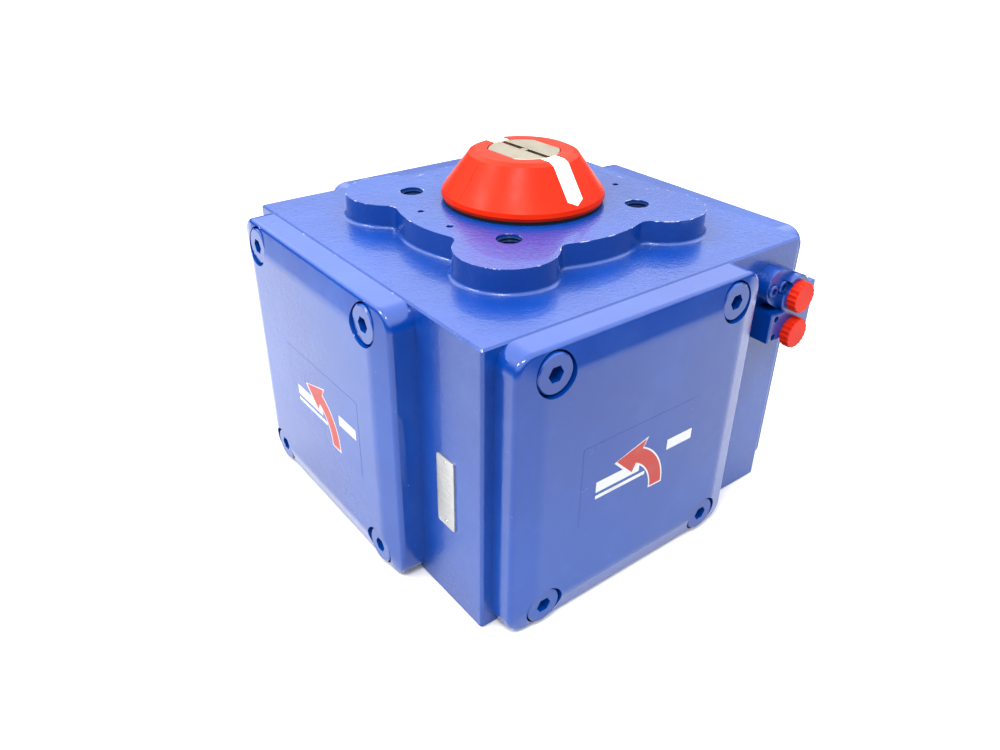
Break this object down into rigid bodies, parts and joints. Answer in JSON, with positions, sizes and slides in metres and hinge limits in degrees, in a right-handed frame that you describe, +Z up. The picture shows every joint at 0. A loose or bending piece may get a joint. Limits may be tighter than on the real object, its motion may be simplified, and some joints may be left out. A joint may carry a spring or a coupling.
{
  "type": "rotary pneumatic actuator",
  "caption": "Square quarter-turn pneumatic actuator: pistons drive racks around a pinion with a square drive below and a position indicator on top.",
  "frame": {"origin": "centre of the valve flange on the bottom face, on the pinion's axis", "axes": "+Z up along the pinion towards the indicator; +X out of the face with the air ports; -Y out of the face with the nameplate"},
  "size_m": [0.2798, 0.2798, 0.224],
  "materials": {
    "blue_enamel": "glossy blue enamel on cast aluminium",
    "seal_rubber": "matt",
    "black_plastic": "matt",
    "red_plastic": "satin",
    "cap_plastic": "satin",
    "white_plastic": "satin",
    "plate_metal": "satin sheet",
    "label_film": "clear printed film over the blue enamel",
    "steel": "machined",
    "bearing_plastic": "plain",
    "cast_aluminium": "machined casting"
  },
  "bodies": {
    "housing_assembly": {"housing": "blue_enamel", "end_cover_px": "blue_enamel", "end_cover_py": "blue_enamel", "end_cover_nx": "blue_enamel", "end_cover_ny": "blue_enamel", "cover_screws_px": "blue_enamel", "cover_screws_py": "blue_enamel", "cover_screws_nx": "blue_enamel", "cover_screws_ny": "blue_enamel", "cover_seal_px": "seal_rubber", "cover_seal_py": "seal_rubber", "cover_seal_nx": "seal_rubber", "cover_seal_ny": "seal_rubber", "gallery_plugs": "steel", "port_block": "blue_enamel", "port_block_screws": "steel", "port_seals": "seal_rubber", "port_cap_lower": "cap_plastic", "port_cap_upper": "cap_plastic", "nameplate": "plate_metal", "cover_label_px": "label_film", "cover_label_ny": "label_film", "lower_bush": "bearing_plastic", "upper_bush": "bearing_plastic", "upper_thrust_washer": "bearing_plastic", "lower_thrust_washer": "bearing_plastic"},
    "pinion_assembly": {"pinion": "steel", "pinion_seal_lower": "seal_rubber", "pinion_seal_upper": "seal_rubber", "retaining_ring": "steel", "indicator_knob": "red_plastic", "indicator_stripes": "white_plastic", "indicator_base_ring": "black_plastic", "shaft_centre_plug": "steel"},
    "piston_assembly_px": {"piston_px": "cast_aluminium", "piston_band_px": "bearing_plastic", "piston_seal_px": "seal_rubber", "rack_pad_px": "bearing_plastic"},
    "piston_assembly_py": {"piston_py": "cast_aluminium", "piston_band_py": "bearing_plastic", "piston_seal_py": "seal_rubber", "rack_pad_py": "bearing_plastic"},
    "piston_assembly_nx": {"piston_nx": "cast_aluminium", "piston_band_nx": "bearing_plastic", "piston_seal_nx": "seal_rubber", "rack_pad_nx": "bearing_plastic"},
    "piston_assembly_ny": {"piston_ny": "cast_aluminium", "piston_band_ny": "bearing_plastic", "piston_seal_ny": "seal_rubber", "rack_pad_ny": "bearing_plastic"}
  },
  "joints": [
    {"name": "pinion_turn", "type": "hinge", "parent": "housing_assembly", "child": "pinion_assembly", "pos_m": [0, 0, 0.0895], "axis": [0, 0, 1], "range_deg": [0, 90]},
    {"name": "piston_slide_px", "type": "slide", "parent": "housing_assembly", "child": "piston_assembly_px", "axis": [1, 0, 0], "range_m": [0, 0.0378]},
    {"name": "piston_slide_py", "type": "slide", "parent": "housing_assembly", "child": "piston_assembly_py", "axis": [0, 1, 0], "range_m": [0, 0.0378]},
    {"name": "piston_slide_nx", "type": "slide", "parent": "housing_assembly", "child": "piston_assembly_nx", "axis": [-1, 0, 0], "range_m": [0, 0.0378]},
    {"name": "piston_slide_ny", "type": "slide", "parent": "housing_assembly", "child": "piston_assembly_ny", "axis": [0, -1, 0], "range_m": [0, 0.0378]}
  ],
  "couplings": [
    {"joint": "piston_slide_px", "follows": "pinion_turn", "m_per_rad": 0.024},
    {"joint": "piston_slide_py", "follows": "pinion_turn", "m_per_rad": 0.024},
    {"joint": "piston_slide_nx", "follows": "pinion_turn", "m_per_rad": 0.024},
    {"joint": "piston_slide_ny", "follows": "pinion_turn", "m_per_rad": 0.024}
  ]
}
